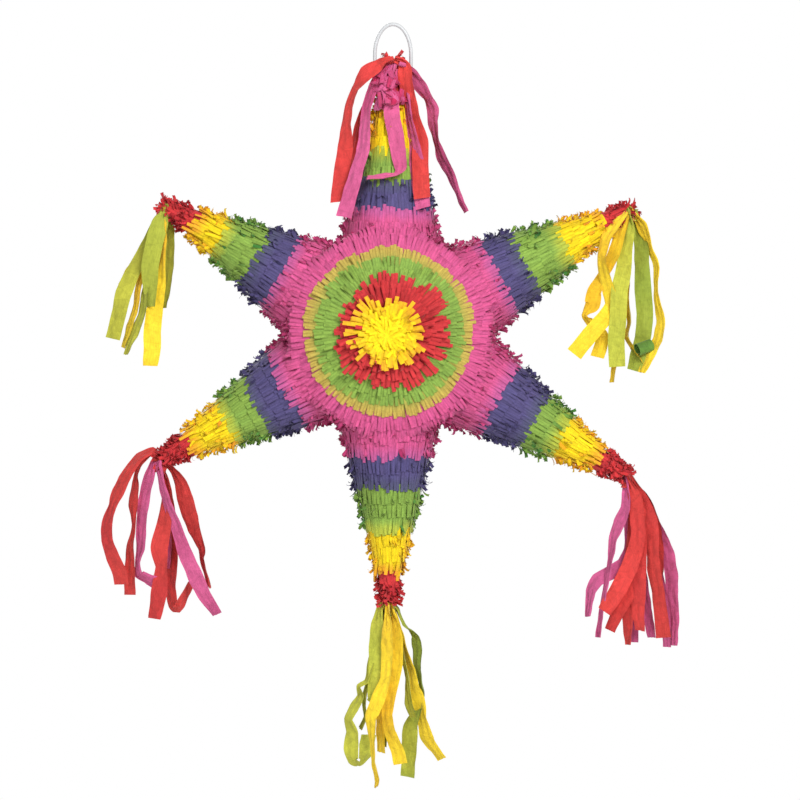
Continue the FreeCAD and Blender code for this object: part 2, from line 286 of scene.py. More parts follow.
class Paper:
    """Collects strips and skins of tissue, and turns them into one mesh."""

    def __init__(self, seed):
        self.rng = random.Random(seed)
        self.verts = []
        self.faces = []
        self.paint = []
        self.grain = []

    def grid(self, rows, across, along, paints, closed=False, rim=1.0):
        """rows of points, all as long. across and along are where they lie on the flat paper. The two
        long edges are painted darker by the factor rim, as painted shade between neighbouring strips."""
        first = len(self.verts)
        wide = len(rows[0])
        spare = self.rng.uniform(0, 900)
        for row, place, paint in zip(rows, along, paints):
            for j, (point, x) in enumerate(zip(row, across)):
                self.verts.append(point)
                self.paint.append(paint * rim if j in (0, wide - 1) else paint)
                self.grain.append((x / MM, place / MM, spare))
        for i in range(len(rows) - 1):
            for j in range(wide if closed else wide - 1):
                a = first + i * wide + j
                b = first + i * wide + (j + 1) % wide
                self.faces.append((a, b, b + wide, a + wide))

    def strip(self, root, forward, normal, length, width, paint, tip, lift, curl, twist=0.0, steps=5):
        """One narrow strip, glued at its root. It lifts off the surface, bends by curl and turns by
        twist. tip is the colour of its free end, where that differs."""
        side = forward.cross(normal).normalized()
        turn = Quaternion(side, lift)
        forward, normal = turn @ forward, turn @ normal
        point = root.copy()
        half = width / 2
        rows, along, paints = [], [], []
        for i in range(steps + 1):
            share = i / steps
            ridge = normal * (CUPPED * half)
            rows.append([point - side * half, point + ridge, point + side * half])
            along.append(length * share)
            paints.append(mixed(paint, tip, smooth(share * 1.6 - 0.3)) if tip else paint)
            bend = Quaternion(side, curl / steps * 2 * share)
            forward, normal = bend @ forward, bend @ normal
            roll = Quaternion(forward, twist / steps)
            side, normal = roll @ side, roll @ normal
            point = point + forward * (length / steps)
        self.grid(rows, (-half, 0, half), along, paints, rim=FINGER_EDGE_SHADE)

    def build(self, name, body, slot, *nodes):
        mesh = bpy.data.meshes.new(name)
        mesh.from_pydata(self.verts, [], self.faces)
        paint = mesh.attributes.new("tissue", "FLOAT_COLOR", "POINT")
        paint.data.foreach_set("color", [c for p in self.paint for c in (*p, 1.0)])
        grain = mesh.attributes.new("grain", "FLOAT_VECTOR", "POINT")
        grain.data.foreach_set("vector", [c for g in self.grain for c in g])
        mesh.polygons.foreach_set("use_smooth", [True] * len(mesh.polygons))
        mesh.materials.append(MATERIAL[slot])
        piece = add_object(name, mesh)
        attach(piece, body)
        if nodes:
            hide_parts(*nodes)
        return piece


def shade(rng, colour, low=0.9, high=1.08):
    """A colour a little lighter or darker, and a little warmer or cooler."""
    level = rng.uniform(low, high)
    warm = rng.uniform(-0.02, 0.02)
    return Vector((colour.x * (level + warm), colour.y * level, colour.z * (level - warm)))


def fringe_pieces(rng, count):
    """Cuts a row of fingers into the separate lengths of paper that it was glued from: for each
    finger, how far its end is out of line, and how light its piece of paper is."""
    fingers = []
    while len(fingers) < count:
        long = rng.randint(7, 20)
        offset = rng.gauss(0, 1.3 * MM)
        slope = rng.gauss(0, 0.1 * MM)
        light = rng.uniform(0.93, 1.05)
        for i in range(long):
            fingers.append((offset + slope * (i - long / 2), light))
    return fingers[:count]


# --- the card surfaces that the fringe lies on
class Cone:
    """A card cone: its axis and radius are read from the frame."""

    def __init__(self, name):
        self.name = name
        points = [v.co - STAR for v in NODES[f"{name}_yellow_fringe"].data.vertices]
        self.axis = sum(points, Vector()).normalized()
        self.across = FRONT.cross(self.axis).normalized()
        near, far = self.reach("yellow")
        radius = {}
        for end in (near, far):
            close = [p for p in points if abs(p.dot(self.axis) - end) < 0.5 * MM]
            radius[end] = min((p - self.axis * p.dot(self.axis)).length for p in close) - SKIN_GAP
        self.slope = (radius[far] - radius[near]) / (far - near)
        self.base = radius[near] - self.slope * near
        self.angle = math.atan2(self.axis.z, self.axis.x)

    def reach(self, colour):
        """How far from the star's middle a band of fringe starts and ends."""
        points = [v.co - STAR for v in NODES[f"{self.name}_{colour}_fringe"].data.vertices]
        places = [p.dot(self.axis) for p in points]
        return min(places), max(places)

    def radius(self, distance):
        return self.base + self.slope * distance

    def frame(self, distance, turn, lift=0.0):
        """A point on the card, lifted off it, with the way towards the tip and the way out."""
        out = self.across * math.cos(turn) + FRONT * math.sin(turn)
        point = STAR + self.axis * distance + out * (self.radius(distance) + lift)
        forward = (self.axis + out * self.slope).normalized()
        return point, forward, (out - self.axis * self.slope).normalized()


CONES = {name: Cone(name) for name in CONE_NAMES}
CONE_ENDS = {
    name: max((v.co - STAR).dot(cone.axis) for v in NODES[f"{name}_cone"].data.vertices)
    for name, cone in CONES.items()
}


def between(a, b):
    """The angle from a to b, from minus to plus half a turn."""
    return (b - a + math.pi) % (math.tau) - math.pi


def hidden(point, cone, spare):
    """True where a point on a cone is inside the drum or on a neighbour's side of the valley."""
    place = point - STAR
    reach = math.hypot(place.x, place.z)
    if reach < DRUM_R - spare and front_depth(reach) < place.y < back_depth(reach):
        return True
    here = math.atan2(place.z, place.x)
    own = abs(between(cone.angle, here))
    others = [abs(between(c.angle, here)) for c in CONES.values() if c is not cone]
    return own > min(others) + spare / max(reach, MM)


def front_depth(radius):
    """y of the domed front face at a distance from the drum's axis."""
    return DOME_Y - math.sqrt(DOME_R**2 - min(radius, DRUM_R) ** 2)


def back_depth(radius):
    return BACK_Y - max(0.0, min(radius, DRUM_R) - BACK_FLAT_R) * BACK_SLOPE


def cone_depth(reach, turn):
    """How far the nearest cone stands out from the middle plane, at a place seen from the front."""
    depth = 0.0
    for cone in CONES.values():
        off = abs(between(cone.angle, turn))
        if off < math.pi / 3:
            distance, aside = reach * math.cos(off), reach * math.sin(off)
            depth = max(depth, math.sqrt(max(0.0, cone.radius(distance) ** 2 - aside**2)))
    return depth


def face_frame(radius, turn, front, lift=0.0):
    """A point on the front or the back face, with the outward way along it and the way out of it."""
    ray = Vector((math.cos(turn), 0, math.sin(turn)))
    if front:
        tilt = math.asin(min(0.999, radius / DOME_R))
        forward = ray * math.cos(tilt) - FRONT * math.sin(tilt)
        out = ray * math.sin(tilt) + FRONT * math.cos(tilt)
        base = Vector((STAR.x, front_depth(radius), STAR.z))
    else:
        tilt = math.atan(BACK_SLOPE) if radius > BACK_FLAT_R else 0.0
        forward = ray * math.cos(tilt) + FRONT * math.sin(tilt)
        out = ray * math.sin(tilt) - FRONT * math.cos(tilt)
        base = Vector((STAR.x, back_depth(radius), STAR.z))
    return base + ray * radius + out * lift, forward, out


# --- fringe on the cones
def skin(paper, start, end, steps, around, point_at, paint, wanted, wide=3 * MM):
    """The glued part of the fringe, in cells from start to end and all the way round. point_at gives
    the point at a distance and a turn, wanted says where a cell is needed, and wide is a cell's width
    on the flat paper."""
    for i in range(steps):
        ends = [start + (end - start) * (i + k) / steps for k in (0, 1)]
        for j in range(around):
            turns = [math.tau * (j + k) / around for k in (0, 1)]
            if wanted(sum(ends) / 2, sum(turns) / 2):
                rows = [[point_at(end_at, turn) for turn in turns] for end_at in ends]
                paper.grid(rows, (0, wide), ends, [paint] * 2)


def skin_steps(start, end):
    return max(2, round((end - start) / (6 * MM)))


def cone_skin(paper, cone, start, end, colour):
    # the glued part is painted 8 per cent darker than the fingers, as painted shade in the gaps between them
    skin(paper, start, end, skin_steps(start, end), 48, lambda at, turn: cone.frame(at, turn, SKIN_LIFT)[0],
         colour * 0.92, lambda at, turn: not hidden(cone.frame(at, turn)[0], cone, 2 * MM))


def crumpled(rng, colour):
    """How a loose end of fringe stands up: its lift, curl, twist and turn aside, and its shade."""
    lift = math.radians(rng.uniform(8, 38))
    curl = math.radians(rng.uniform(20, 150))
    twist = math.radians(rng.choice((-1, 1)) * rng.uniform(25, 120))
    sideways = gauss_angle(rng, 0, 22)
    # a loose end is painted part way towards DEEP at random, as painted shade on the crumpled paper
    paint = mixed(TISSUE[colour], DEEP[colour], rng.random() ** 1.6)
    return lift, curl, twist, sideways, shade(rng, paint, 0.9, 1.05)


def cone_row(paper, cone, end, length, colour, tip_colour, wild):
    """One row of fringe round a cone, its free ends towards the tip. Seen from the front, the ends at
    the cone's sides are crumpled and stand up."""
    rng = paper.rng
    radius = cone.radius(end - length / 2) + 2 * MM
    count = max(10, round(math.tau * radius / (FINGER * CROWD)))
    start = rng.uniform(0, math.tau)
    # the yellow's last row is cut roughly and stands up, except on the top cone under its tassel
    loose = 2.2 if tip_colour and colour == "yellow" and cone.name != "top" else 1.0
    side_shade = 1.0 if cone.name == "top" else 0.5  # how much painted shade, DEEP, goes into the yellow at a cone's sides
    for i, (offset, light) in enumerate(fringe_pieces(rng, count)):
        turn = start + math.tau * (i + rng.uniform(-0.12, 0.12)) / count
        long = length + rng.gauss(0, 1.6 * MM if tip_colour else 0.7 * MM) * loose
        root_at = end + offset - length
        if hidden(cone.frame(root_at + long * 0.45, turn, 2 * MM)[0], cone, 1 * MM):
            continue
        while long > 4 * MM and hidden(cone.frame(root_at, turn)[0], cone, 1 * MM):
            root_at += 1 * MM
            long -= 1 * MM
        root, forward, normal = cone.frame(root_at, turn, rng.uniform(0.5, 1.0) * MM)
        edge = 1 - abs(math.sin(turn))
        paint = shade(rng, TISSUE[colour] * light, 0.9, 1.07)
        if colour == "yellow":
            paint = mixed(paint, DEEP[colour], side_shade * edge**1.5)
        tip = tip_colour
        lift = gauss_angle(rng, 5.5 * loose, 1.5 * loose)
        curl = gauss_angle(rng, -3, 5)
        twist = gauss_angle(rng, 0, 6 * loose)
        sideways = gauss_angle(rng, 0, 3 * loose)
        if rng.random() < wild + 0.5 * edge**2.2:
            lift, curl, twist, sideways, paint = crumpled(rng, colour)
            long *= rng.uniform(0.4, 0.62)
            root, forward, normal = cone.frame(end + offset - long * rng.uniform(0.7, 1.3), turn, 1.2 * MM)
            tip = None
        forward = Quaternion(normal, sideways) @ forward
        width = FINGER * rng.uniform(0.95, 1.14)
        paper.strip(root, forward, normal, long, width, paint, tip, lift, curl, twist)


def side_crumples(paper, cone, start, end, colour):
    """Short crumpled ends all along a cone's two sides. The bottom cone's are pressed flatter."""
    rng = paper.rng
    for i in range(round((end - start) / MM * 3)):
        side = math.pi * (i % 2)
        at = rng.uniform(start, end)
        turn = side + rng.gauss(0, 0.42)
        root, forward, normal = cone.frame(at, turn, rng.uniform(1.2, 3.4) * MM)
        if hidden(root, cone, 1 * MM):
            continue
        lift, curl, twist, sideways, paint = crumpled(rng, colour)
        forward = Quaternion(normal, sideways) @ forward
        long = rng.uniform(4, 8) * MM
        if cone.name == "bottom":
            long *= 0.7
            lift *= 0.5
        width = FINGER * rng.uniform(0.7, 1.15)
        paper.strip(root, forward, normal, long, width, paint, None, lift, curl, twist, steps=4)


def tip_tuft(paper, cone):
    """The shaggy end of a cone: short pieces of red that stick out every way. The bottom cone's stop
    short of its tassel, and stand up more towards the tip."""
    rng = paper.rng
    start = cone.reach("red")[0]
    bottom = cone.name == "bottom"
    flare = 0.6 if bottom else 0.0
    far = CONE_ENDS[cone.name] + (4 * MM if bottom else 8 * MM)
    for _ in range(130):
        share = rng.random()
        at = start + 2 * MM + (far - start) * share
        turn = rng.uniform(0, math.tau)
        root, forward, normal = cone.frame(at, turn, rng.uniform(0.6, 2.4) * MM)
        lift, curl, twist, sideways, paint = crumpled(rng, "red")
        paint = paint * 1.12
        lift = lift * 1.3 + flare * share
        forward = Quaternion(normal, sideways) @ forward
        long = rng.uniform(5, 9 + 5 * share) * MM
        curl *= 0.6 if bottom else 1.0
        width = FINGER * rng.uniform(0.8, 1.2)
        paper.strip(root, forward, normal, long, width, paint, None, lift, curl, twist)


# share of the fingers that stand up anywhere on a cone
WILD = {"pink": 0.07, "purple": 0.05, "green": 0.07, "yellow": 0.12, "red": 0.3}


def cone_band(cone, colour, seed):
    """All the rows of one colour on one cone."""
    paper = Paper(seed)
    place = BANDS.index(colour)
    start, end = cone.reach(colour)
    if colour == "pink":
        start = min(start, PINK_ROOT)
    rows = max(1, round((end - start) / ROW_PITCH))
    step = (end - start) / rows
    cone_skin(paper, cone, start, end + SKIN_GAP, TISSUE[colour])
    for row in range(rows):
        last = row == rows - 1
        over = OVER[colour, BANDS[place + 1]] if last and colour != "red" else None
        reach = start + (row + 1) * step + (1.5 * MM if last else 0)
        cone_row(paper, cone, reach, step + OVERLAP, colour, over, WILD[colour])
    side_crumples(paper, cone, start + 4 * MM, end - 3 * MM, colour)
    if colour == "red":
        tip_tuft(paper, cone)
    name = f"{cone.name}_{colour}"
    paper.build(f"{name}_tissue", "star", f"tissue_{colour}", f"{name}_fringe")


# --- rosette
def face_row(paper, end, length, colour, tip_colour=None, front=True, wide=FINGER, lift=5.5, ragged=0.8,
             wild=0.04, keep=None, aside=(0, 0)):
    """One ring of fringe on a face of the drum, its free ends outwards. wide is a finger's width, lift
    how steeply it stands in degrees, ragged how uneven the row is, and wild the share of fingers that
    stand up. keep says where fingers are wanted. aside is how far the ring's middle lies to the right
    of the drum's axis and above it."""
    rng = paper.rng
    count = max(10, round(math.tau * end / (wide * CROWD)))
    start = rng.uniform(0, math.tau)
    for i, (offset, light) in enumerate(fringe_pieces(rng, count)):
        turn = start + math.tau * (i + rng.uniform(-0.15, 0.15)) / count
        long = length + rng.gauss(0, ragged * MM)
        off_axis = aside[0] * math.cos(turn) + aside[1] * math.sin(turn)
        at = max(2 * MM, end + offset * ragged - length + off_axis)
        root, forward, normal = face_frame(at, turn, front, rng.uniform(0.5, 1.0) * MM)
        if keep and not all(keep(root + forward * (long * share)) for share in (0, 0.5, 1)):
            continue
        paint = shade(rng, colour * light, 0.9, 1.07)
        rise = gauss_angle(rng, lift, lift * 0.25)
        curl = gauss_angle(rng, -5, 6)
        twist = gauss_angle(rng, 0, 8)
        sideways = gauss_angle(rng, 0, 4 * ragged)
        if rng.random() < wild:
            rise += math.radians(rng.uniform(5, 20))
            curl = math.radians(rng.uniform(0, 70))
            twist = gauss_angle(rng, 0, 30)
        forward = Quaternion(normal, sideways) @ forward
        width = wide * rng.uniform(0.93, 1.12)
        paper.strip(root, forward, normal, long, width, paint, tip_colour, rise, curl, twist)


def face_skin(paper, inner, outer, colour, front=True, keep=None):
    # the glued part is painted 8 per cent darker than the fingers, as painted shade in the gaps between them
    skin(paper, inner, outer, skin_steps(inner, outer), 72,
         lambda radius, turn: face_frame(radius, turn, front, SKIN_LIFT)[0], colour * 0.92,
         lambda radius, turn: not keep or keep(face_frame(radius, turn, front)[0]))


def green_ring():
    paper = Paper(21)
    green = TISSUE["green"]
    face_skin(paper, 40 * MM, 84 * MM, green)
    face_row(paper, 86.5 * MM, 19 * MM, mixed(green, OVER["green", "pink"], 0.55), OVER["green", "pink"])
    face_row(paper, 76.5 * MM, 18 * MM, green)
    face_row(paper, 66 * MM, 17 * MM, green * 1.02, wild=0.08)
    paper.build("rosette_green_tissue", "star", "tissue_green", "rosette_green_ring")


RED_ASIDE = (4 * MM, 0)  # the rings were glued on a little off the middle
HEAP_ASIDE = (-1.5 * MM, -3.5 * MM)


def red_ring():
    paper = Paper(22)
    red = TISSUE["red"]
    face_skin(paper, 14 * MM, 46 * MM, red)
    for end, length, lift in ((58, 24, 9), (52, 24, 11), (45, 22, 13)):
        face_row(paper, end * MM, length * MM, red * 0.94, wide=4 * MM, lift=lift, ragged=2.0, wild=0.08,
                 aside=RED_ASIDE)
    paper.build("rosette_red_tissue", "star", "tissue_red", "rosette_red_ring")


HEAP_FLAT = 80 * MM  # in front of here the heap's loose ends are pressed flatter
HEAP_PRESS = 0.45  # by this share
HEAP_LIFT = 3 * MM  # the red ring's fingers hold the heap off the face


def yellow_heap():
    """The pompom in the middle: rows that lie outwards, under a tuft of loose strips."""
    paper = Paper(23)
    rng = paper.rng
    yellow = TISSUE["yellow"]
    face_skin(paper, 0.5 * MM, 24 * MM, yellow)
    tip = OVER["yellow", "red"]
    for end, length, lift, ragged, share in ((35, 23, 20, 3.2, 0.8), (30, 22, 25, 2.8, 0.35)):
        face_row(paper, end * MM, length * MM, yellow, mixed(yellow, tip, share), wide=4.4 * MM, lift=lift,
                 ragged=ragged, aside=HEAP_ASIDE)
    for _ in range(330):
        radius = 23 * MM * math.sqrt(rng.random())
        turn = rng.uniform(0, math.tau)
        height = (1 + 6 * (1 - (radius / (26 * MM)) ** 2)) * MM * rng.random()
        root, forward, normal = face_frame(max(radius - 5 * MM, MM), turn, True, height)
        root += Vector((HEAP_ASIDE[0], 0, HEAP_ASIDE[1]))
        forward = Quaternion(normal, rng.gauss(0, 1.3)) @ forward
        long = rng.uniform(10, 17) * MM
        rise = math.radians(rng.uniform(5, 40))
        curl = math.radians(rng.uniform(-80, -15))
        twist = gauss_angle(rng, 0, 30)
        # the loose strips are painted lighter than the yellow, as painted light on the middle of the heap
        paint = shade(rng, yellow, 1.05, 1.2)
        paper.strip(root, forward, normal, long, FINGER * 1.1, paint, None, rise, curl, twist, steps=6)
    for point in paper.verts:
        point.y -= HEAP_LIFT
        proud = -point.y - HEAP_FLAT
        if proud > 0:
            point.y += proud * HEAP_PRESS
    paper.build("rosette_yellow_tissue", "star", "tissue_yellow", "rosette_yellow_ring")


# --- the drum's pink shoulders and valleys
def shoulder_row(paper, end, length, colour, front):
    """Fringe over the drum's rim: it lies on the cones, and bends down into the valleys."""
    rng = paper.rng
    count = round(math.tau * end / (FINGER * CROWD))
    start = rng.uniform(0, math.tau)
    depth_at = front_depth if front else back_depth
    for i, (offset, light) in enumerate(fringe_pieces(rng, count)):
        turn = start + math.tau * (i + rng.uniform(-0.2, 0.2)) / count
        at = end + offset - length
        root, forward, normal = face_frame(at, turn, front, rng.uniform(0.6, 1.2) * MM)
        reach = at + length * 0.8
        below = abs(depth_at(at)) - cone_depth(max(reach, DRUM_R + 2 * MM), turn)
        drop = math.atan2(max(0.0, below - 4 * MM), length * 0.8) if reach > DRUM_R else 0.0
        paint = shade(rng, colour * light, 0.92, 1.07)
        curl = -drop * 1.5 + gauss_angle(rng, -3, 5)
        lift = gauss_angle(rng, 5.5, 1.5)
        twist = gauss_angle(rng, 0, 8 + 25 * drop)
        forward = Quaternion(normal, gauss_angle(rng, 0, 4)) @ forward
        width = FINGER * rng.uniform(0.95, 1.14)
        paper.strip(root, forward, normal, length + rng.gauss(0, MM), width, paint, None, lift, curl, twist)


def valley_curls(paper, colour):
    """Loose, curled ends along the creases between neighbouring cones."""
    rng = paper.rng
    order = sorted(CONES.values(), key=lambda c: c.angle)
    for here, after in zip(order, order[1:] + order[:1]):
        middle = here.angle + between(here.angle, after.angle) / 2
        for _ in range(150):
            depth = rng.uniform(-48, 48) * MM
            reach = DRUM_R + rng.uniform(0.5, 3) * MM
            turn = middle + rng.gauss(0, 0.09)
            ray = Vector((math.cos(turn), 0, math.sin(turn)))
            root = STAR + ray * reach - FRONT * depth
            face = Vector((0, math.copysign(1, depth), 0))
            forward = (ray + face * rng.uniform(-0.3, 0.9)).normalized()
            around = Quaternion(forward, rng.uniform(0, math.tau))
            normal = around @ forward.cross(Vector((ray.z, 0, -ray.x))).normalized()
            # each curl is painted part way towards the deep pink at random, as painted shade in the valleys
            paint = shade(rng, mixed(colour, DEEP["pink"], rng.random()), 0.85, 1.02)
            long = rng.uniform(6, 12) * MM
            curl = gauss_angle(rng, 0, 110)
            twist = gauss_angle(rng, 0, 70)
            paper.strip(root, forward, normal, long, FINGER, paint, None, 0.0, curl, twist)


def wall_skin(paper, colour):
    """The paper on the drum's side wall, where no cone covers it."""
    radius = DRUM_R + 0.5 * MM
    # the side wall is painted a quarter darker, as painted shade deep in the valleys between the cones
    skin(paper, -WALL_HALF, WALL_HALF, 8, 96,
         lambda y, turn: STAR + Vector((math.cos(turn) * radius, y, math.sin(turn) * radius)),
         colour * 0.75, lambda y, turn: cone_depth(DRUM_R + MM, turn) < abs(STAR.y + y) + 6 * MM,
         wide=6 * MM)


def drum_pink():
    paper = Paper(24)
    pink = TISSUE["pink"]
    for front in (True, False):
        face_skin(paper, 80 * MM, DRUM_R, pink, front)
        shoulder_row(paper, 112 * MM, 19 * MM, pink, front)
        shoulder_row(paper, 101 * MM, 20 * MM, pink, front)
    wall_skin(paper, pink)
    valley_curls(paper, pink)
    paper.build("drum_pink_tissue", "star", "tissue_pink", "drum_pink_fringe")


# --- back
FLAP_LOW, FLAP_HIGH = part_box("fill_flap")
FLAP_FRINGE_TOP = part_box("flap_fringe")[1].z
CREASE_GAP = 1.5 * MM  # bare card on each side of the flap's crease


def off_flap(point):
    """True where the back face is neither under the flap nor beside its crease."""
    spare = 1 * MM
    inside = FLAP_LOW.x - spare < point.x < FLAP_HIGH.x + spare
    crease = 2 * FLAP_HIGH.z - FLAP_FRINGE_TOP
    return not (inside and FLAP_LOW.z - spare < point.z < crease)


def back_fringe():
    paper = Paper(31)
    green = TISSUE["green"]
    face_skin(paper, 0.5 * MM, 84 * MM, green, False, off_flap)
    face_row(paper, 88 * MM, 19 * MM, mixed(green, OVER["green", "pink"], 0.55), OVER["green", "pink"],
             front=False)
    for end in (76, 65, 54, 44):
        face_row(paper, end * MM, 18 * MM, green, front=False, keep=off_flap)
    crease = FLAP_HIGH.z + CREASE_GAP
    straight_row(paper, FLAP_LOW.x, FLAP_HIGH.x, crease + 12 * MM, 12 * MM)
    paper.build("back_tissue", "star", "tissue_green", "back_fringe")


def straight_row(paper, left, right, top, length):
    """One row of fringe straight across the back, its free ends down."""
    rng = paper.rng
    green = TISSUE["green"]
    fingers = round((right - left) / (FINGER * CROWD))
    for i, (offset, light) in enumerate(fringe_pieces(rng, fingers)):
        x = left + (right - left) * (i + 0.5) / fingers
        root = Vector((x, BACK_Y + rng.uniform(0.7, 1.2) * MM, top))
        paint = shade(rng, green * light, 0.9, 1.07)
        lift = gauss_angle(rng, 5.5, 1.5)
        forward = Quaternion((0, 1, 0), gauss_angle(rng, 0, 3)) @ Vector((0, 0, -1))
        curl = gauss_angle(rng, -3, 5)
        width = FINGER * rng.uniform(0.95, 1.14)
        paper.strip(root, forward, Vector((0, 1, 0)), length - offset * 0.5, width, paint, None, lift, curl)


def flap_fringe():
    """Straight rows across the flap."""
    paper = Paper(32)
    left, right, low, high = FLAP_LOW.x, FLAP_HIGH.x, FLAP_LOW.z, FLAP_HIGH.z - CREASE_GAP
    y = BACK_Y + SKIN_LIFT
    rows = [[Vector((x, y, z)) for x in (left, right)] for z in (low, high)]
    # the glued part is painted 8 per cent darker than the fingers, as painted shade in the gaps between them
    paper.grid(rows, (0, right - left), (0, high - low), [TISSUE["green"] * 0.92] * 2)
    count = 5
    pitch = (high - low) / count
    for row in range(count):
        top = low + (row + 1) * pitch
        over = OVERLAP if row < count - 1 else 0
        straight_row(paper, left, right, min(top + OVERLAP, high), pitch + over)
    paper.build("flap_tissue", "flap", "tissue_green", "flap_fringe")


# --- tassels
# Each streamer: its colour, how far in front of its knot it hangs, and the points it passes. A point
# is its place to the right of the knot and above it, and the percentage of its width that shows.
STREAMERS = {}
STREAMERS["upper_left"] = [
    ("green", -7, [(2, 2, 60), (-2, -12, 95), (-8, -32, 100), (-14, -61, 100), (-14, -79, 90),
        (-14, -104, 60)]),
    ("yellow", -4, [(0, 0, 30), (-1, -30, 40), (-3, -60, 50), (-5, -80, 80), (-9, -104, 95),
        (-12, -128, 100), (-12, -146, 100), (-14, -165, 85)]),
    ("green", -2, [(0, 0, 30), (-4, -30, 40), (-14, -60, 50), (-20, -90, 45), (-23, -112, 50),
        (-32, -133, 60), (-40, -153, 30)]),
    ("green", 1, [(0, 0, 50), (-9, -24, 80), (-22, -48, 70), (-33, -69, 85), (-42, -90, 95),
        (-47, -112, 85), (-53, -137, 85)]),
    ("yellow", 3, [(-1, 0, 30), (-7, -30, 40), (-18, -58, 40), (-27, -82, 40), (-30, -104, 40),
        (-37, -126, 40), (-43, -146, 25)]),
    ("green", 6, [(1, 0, 50), (4, -25, 70), (4, -52, 70), (3, -69, 65), (1, -87, 60),
        (-1, -105, 40)]),
    ("yellow", 8, [(-1, 0, 30), (-10, -28, 40), (-26, -52, 40), (-38, -68, 40), (-46, -81, 30)]),
]
STREAMERS["upper_right"] = [
    ("green", -8, [(-4, 1, 35), (-3, -19, 60), (-7, -48, 80), (-9, -65, 90), (-13, -85, 95),
        (-14, -110, 95), (-16, -134, 95), (-15, -162, 90)]),
    ("yellow", -5, [(0, 0, 40), (11, -18, 60), (18, -36, 25), (26, -60, 30), (25, -75, 20),
        (26, -93, 30), (30, -113, 45), (27, -134, 50), (16, -155, 55), (10, -168, 40)]),
    ("green", -1, [(3, 0, 30), (10, -31, 80), (11, -57, 80), (12, -82, 95), (14, -108, 95),
        (12, -131, 90), (7, -150, 90), (3, -166, 80)]),
    ("yellow", -4, [(-2, 0, 30), (-14, -12, 50), (-27, -30, 60), (-31, -49, 50), (-29, -64, 60),
        (-24, -82, 70), (-20, -98, 80), (-27, -111, 90), (-42, -128, 95), (-59, -149, 95)]),
    ("yellow", 2, [(-1, 0, 30), (-12, -25, 60), (-18, -45, 70), (-28, -66, 60), (-38, -84, 80),
        (-40, -98, 90), (-48, -109, 30), (-40, -119, 60), (-29, -131, 70), (-35, -152, 80)]),
    ("yellow", 0, [(1, 0, 30), (-2, -45, 30), (-4, -91, 20), (-2, -116, 20), (-5, -131, 20),
        (2, -144, 25), (11, -159, 20)]),
    ("yellow", -2, [(-2, -2, 30), (-8, -60, 30), (-15, -120, 30), (-18, -163, 30),
        (-20, -178, 20)]),
]
STREAMERS["lower_left"] = [
    ("red", -3, [(0, 2, 30), (-7, 10, 40), (-21, 3, 50), (-33, -13, 60), (-43, -33, 70),
        (-49, -48, 45), (-54, -65, 65), (-54, -82, 70), (-48, -100, 80), (-41, -116, 85),
        (-39, -128, 85)]),
    ("red", 3, [(0, 1, 30), (-8, 7, 40), (-19, -2, 40), (-24, -13, 30), (-26, -31, 55),
        (-28, -48, 60), (-27, -67, 25), (-31, -90, 50), (-31, -113, 65), (-31, -139, 70)]),
    ("pink", -1, [(0, 1, 30), (-5, 0, 40), (-10, -13, 60), (-15, -34, 65), (-18, -52, 65),
        (-19, -72, 60), (-20, -90, 50), (-23, -106, 25), (-22, -117, 50), (-13, -122, 60),
        (-5, -126, 70), (6, -131, 70)]),
    ("pink", -11, [(-1, -1, 30), (2, -19, 35), (8, -43, 50), (18, -69, 65), (26, -93, 80),
        (36, -116, 90), (46, -137, 80), (60, -158, 55)]),
    ("red", -6, [(1, 0, 30), (4, -14, 40), (7, -39, 55), (5, -65, 85), (0, -90, 100), (2, -110, 70),
        (0, -134, 95), (-5, -163, 75)]),
    ("red", -2, [(3, 1, 30), (12, -8, 50), (22, -24, 75), (26, -39, 95), (31, -57, 90),
        (36, -72, 75), (43, -90, 50), (44, -103, 30), (49, -122, 20), (51, -131, 20)]),
    ("red", 4, [(2, 0, 30), (8, -35, 60), (14, -75, 55), (13, -108, 60), (11, -132, 60),
        (13, -149, 60), (17, -154, 50), (23, -145, 50), (32, -126, 40)]),
    ("pink", 7, [(1, 0, 30), (7, -50, 40), (9, -90, 40), (7, -112, 30)]),
]
STREAMERS["lower_right"] = [
    ("red", -8, [(0, 1, 40), (8, -25, 80), (11, -58, 80), (7, -78, 90), (1, -95, 95),
        (-9, -115, 95), (-24, -139, 80)]),
    ("red", -5, [(2, 0, 40), (10, -30, 80), (13, -60, 80), (12, -95, 80), (11, -120, 85),
        (11, -140, 70), (13, -159, 50)]),
    ("red", -6, [(3, 0, 40), (14, -24, 80), (22, -45, 95), (25, -62, 80), (26, -80, 65),
        (27, -95, 75), (32, -123, 70), (37, -166, 85)]),
    ("red", -1, [(1, 0, 30), (7, -40, 60), (4, -95, 80), (0, -123, 80), (-10, -141, 70),
        (-18, -159, 60)]),
    ("red", 2, [(2, 0, 30), (8, -45, 60), (6, -90, 70), (1, -135, 70), (1, -155, 50),
        (1, -174, 25)]),
    ("red", 1, [(3, 0, 30), (19, -27, 70), (28, -50, 70), (32, -72, 60), (33, -95, 50),
        (33, -112, 30)]),
    ("pink", -3, [(-1, 0, 30), (-2, -33, 50), (-8, -47, 65), (-14, -63, 45), (-17, -84, 25),
        (-21, -109, 20), (-26, -135, 20), (-30, -166, 25)]),
    ("pink", 3, [(0, 0, 30), (2, -32, 50), (3, -58, 50), (2, -76, 50), (-3, -91, 80),
        (-15, -99, 80), (-30, -107, 70), (-37, -119, 50), (-40, -145, 15)]),
    ("pink", 5, [(2, 0, 30), (24, -38, 40), (36, -61, 50), (42, -79, 70), (46, -100, 70),
        (47, -126, 65), (49, -151, 50), (48, -175, 35)]),
    ("pink", 7, [(1, 0, 30), (9, -60, 50), (15, -95, 50), (19, -123, 50), (22, -143, 50),
        (26, -167, 40)]),
    ("pink", 9, [(1, 0, 30), (5, -80, 50), (8, -130, 50), (8, -172, 45)]),
    ("pink", 10, [(2, 0, 30), (17, -50, 40), (31, -85, 30), (38, -120, 35), (42, -177, 40)]),
]
